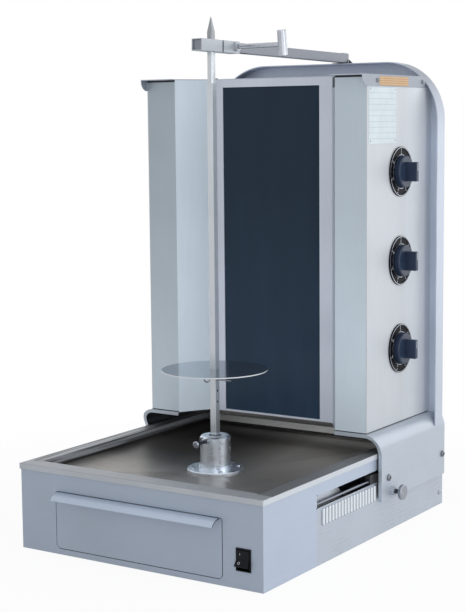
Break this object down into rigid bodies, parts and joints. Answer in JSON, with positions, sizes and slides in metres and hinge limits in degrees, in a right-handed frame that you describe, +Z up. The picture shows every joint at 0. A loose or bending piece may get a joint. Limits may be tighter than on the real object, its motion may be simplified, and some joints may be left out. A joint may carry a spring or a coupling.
{
  "type": "vertical broiler",
  "caption": "Table-top electric doner kebab grill: drip pan base with drawer, turning spit with disc, and a sliding heater tower with side knobs and a top arm.",
  "frame": {"origin": "centre of the base's underside, on the surface that it stands on", "axes": "+Z up, front with the drawer and switch along -Y, control knobs on the +X side"},
  "size_m": [0.572, 0.69, 0.9236],
  "materials": {
    "panel_steel": "fine brushed stainless sheet",
    "front_steel": "fine brushed stainless sheet, cooler in tone",
    "pan_steel": "satin stainless, darker and more mirror-like",
    "cover_steel": "fine brushed stainless sheet",
    "spit_steel": "drawn stainless bar",
    "disc_steel": "thin stainless plate",
    "bright_chrome": "polished",
    "screw_zinc": "bright plated screws",
    "plain_zinc": "zinc-plated inner metal",
    "arm_steel": "satin stainless",
    "black_knob": "satin black",
    "black_paint": "black paint",
    "black_switch": "glossy black",
    "gland_plastic": "black moulded",
    "block_plastic": "black bearing plastic",
    "white_plastic": "white moulded",
    "dark_glass": "black ceramic glass",
    "white_board": "ceramic fibre board",
    "quartz": "frosted quartz tube",
    "motor_paint": "grey paint",
    "regulator_body": "dark moulded body",
    "label_white": "blank white plate",
    "label_amber": "blank amber strip",
    "dial_black": "black dial with a bright edge"
  },
  "bodies": {
    "base": {"base_plate": "plain_zinc", "front_shell": "front_steel", "side_cover_right": "panel_steel", "side_cover_left": "panel_steel", "rear_panel": "panel_steel", "drip_pan": "pan_steel", "hub_flange": "bright_chrome", "flange_screws": "screw_zinc", "gear_motor": "motor_paint", "motor_bracket": "plain_zinc", "drawer_runners": "plain_zinc", "guide_rods": "bright_chrome", "rod_brackets": "plain_zinc", "slot_shields": "panel_steel", "switch_housing": "black_switch", "cable_gland": "gland_plastic", "terminal_block": "white_plastic", "base_screws": "screw_zinc"},
    "drawer": {"drawer_front": "front_steel", "drawer_tray": "plain_zinc"},
    "switch_paddle": {"rocker": "black_switch"},
    "rotor": {"hub": "bright_chrome", "drive_shaft": "spit_steel", "hub_grub_screw": "screw_zinc"},
    "thumb_screw": {"hub_thumb_screw": "screw_zinc"},
    "spit": {"spit": "spit_steel", "kebab_disc": "disc_steel", "disc_clip": "screw_zinc"},
    "tower": {"carriage_side_right": "panel_steel", "carriage_side_left": "panel_steel", "carriage_beam": "plain_zinc", "slide_blocks": "block_plastic", "carriage_bolts": "screw_zinc", "tower_floor": "plain_zinc", "column_shell_right": "panel_steel", "column_shell_left": "panel_steel", "control_panel": "panel_steel", "side_panel_left": "panel_steel", "top_cap": "cover_steel", "cap_screws": "screw_zinc", "glass_frame": "panel_steel", "heater_glass": "dark_glass", "heater_tray": "plain_zinc", "insulation_boards": "white_board", "heating_elements": "quartz", "regulators": "regulator_body", "dial_rings": "dial_black", "rating_plate": "label_white", "caution_strip": "label_amber", "back_cover": "cover_steel", "arm_bracket": "black_paint", "arm_cap_nut": "screw_zinc"},
    "clamp_right": {"clamp_knob_right": "bright_chrome"},
    "clamp_left": {"clamp_knob_left": "bright_chrome"},
    "knob_low": {"knob_1": "black_knob"},
    "knob_middle": {"knob_2": "black_knob"},
    "knob_high": {"knob_3": "black_knob"},
    "arm": {"arm_bar": "arm_steel"},
    "head": {"arm_head": "arm_steel"},
    "tee": {"tee_handle": "screw_zinc"}
  },
  "joints": [
    {"name": "drawer_slide", "type": "slide", "parent": "base", "child": "drawer", "axis": [0, -1, 0], "range_m": [0, 0.13]},
    {"name": "switch_rock", "type": "hinge", "parent": "base", "child": "switch_paddle", "pos_m": [0.213, -0.325, 0.049], "axis": [1, 0, 0], "range_deg": [0, 30]},
    {"name": "rotor_spin", "type": "hinge", "parent": "base", "child": "rotor", "pos_m": [0, -0.09, 0.1333], "axis": [0, 0, 1], "continuous": true},
    {"name": "thumb_screw_turn", "type": "hinge", "parent": "rotor", "child": "thumb_screw", "pos_m": [0, -0.1175, 0.1785], "axis": [0, -1, 0], "continuous": true},
    {"name": "spit_lift", "type": "slide", "parent": "rotor", "child": "spit", "axis": [0, 0, 1], "range_m": [0, 0.045]},
    {"name": "tower_slide", "type": "slide", "parent": "base", "child": "tower", "axis": [0, -1, 0], "range_m": [0, 0.08]},
    {"name": "clamp_right_turn", "type": "hinge", "parent": "tower", "child": "clamp_right", "pos_m": [0.261, 0.093, 0.077], "axis": [1, 0, 0], "continuous": true},
    {"name": "clamp_left_turn", "type": "hinge", "parent": "tower", "child": "clamp_left", "pos_m": [-0.261, 0.093, 0.077], "axis": [-1, 0, 0], "continuous": true},
    {"name": "knob_low_turn", "type": "hinge", "parent": "tower", "child": "knob_low", "pos_m": [0.2358, 0.171, 0.326], "axis": [1, 0, 0], "range_deg": [-300, 0]},
    {"name": "knob_middle_turn", "type": "hinge", "parent": "tower", "child": "knob_middle", "pos_m": [0.2358, 0.171, 0.488], "axis": [1, 0, 0], "range_deg": [-300, 0]},
    {"name": "knob_high_turn", "type": "hinge", "parent": "tower", "child": "knob_high", "pos_m": [0.2358, 0.171, 0.65], "axis": [1, 0, 0], "range_deg": [-300, 0]},
    {"name": "arm_swing", "type": "hinge", "parent": "tower", "child": "arm", "pos_m": [0.056, 0.285, 0.86205], "axis": [0, 0, 1], "range_deg": [-2.26, 0]},
    {"name": "head_slide", "type": "slide", "parent": "arm", "child": "head", "axis": [0.1476, 0.9885, -0.0314], "range_m": [0, 0.0795]},
    {"name": "tee_turn", "type": "hinge", "parent": "head", "child": "tee", "pos_m": [0.01809, -0.03891, 0.87359], "axis": [0.989, -0.1477, 0], "continuous": true}
  ],
  "couplings": [
    {"joint": "arm_swing", "follows": "tower_slide", "rad_per_m": -0.4715},
    {"joint": "head_slide", "follows": "tower_slide", "ratio": 0.9866}
  ]
}
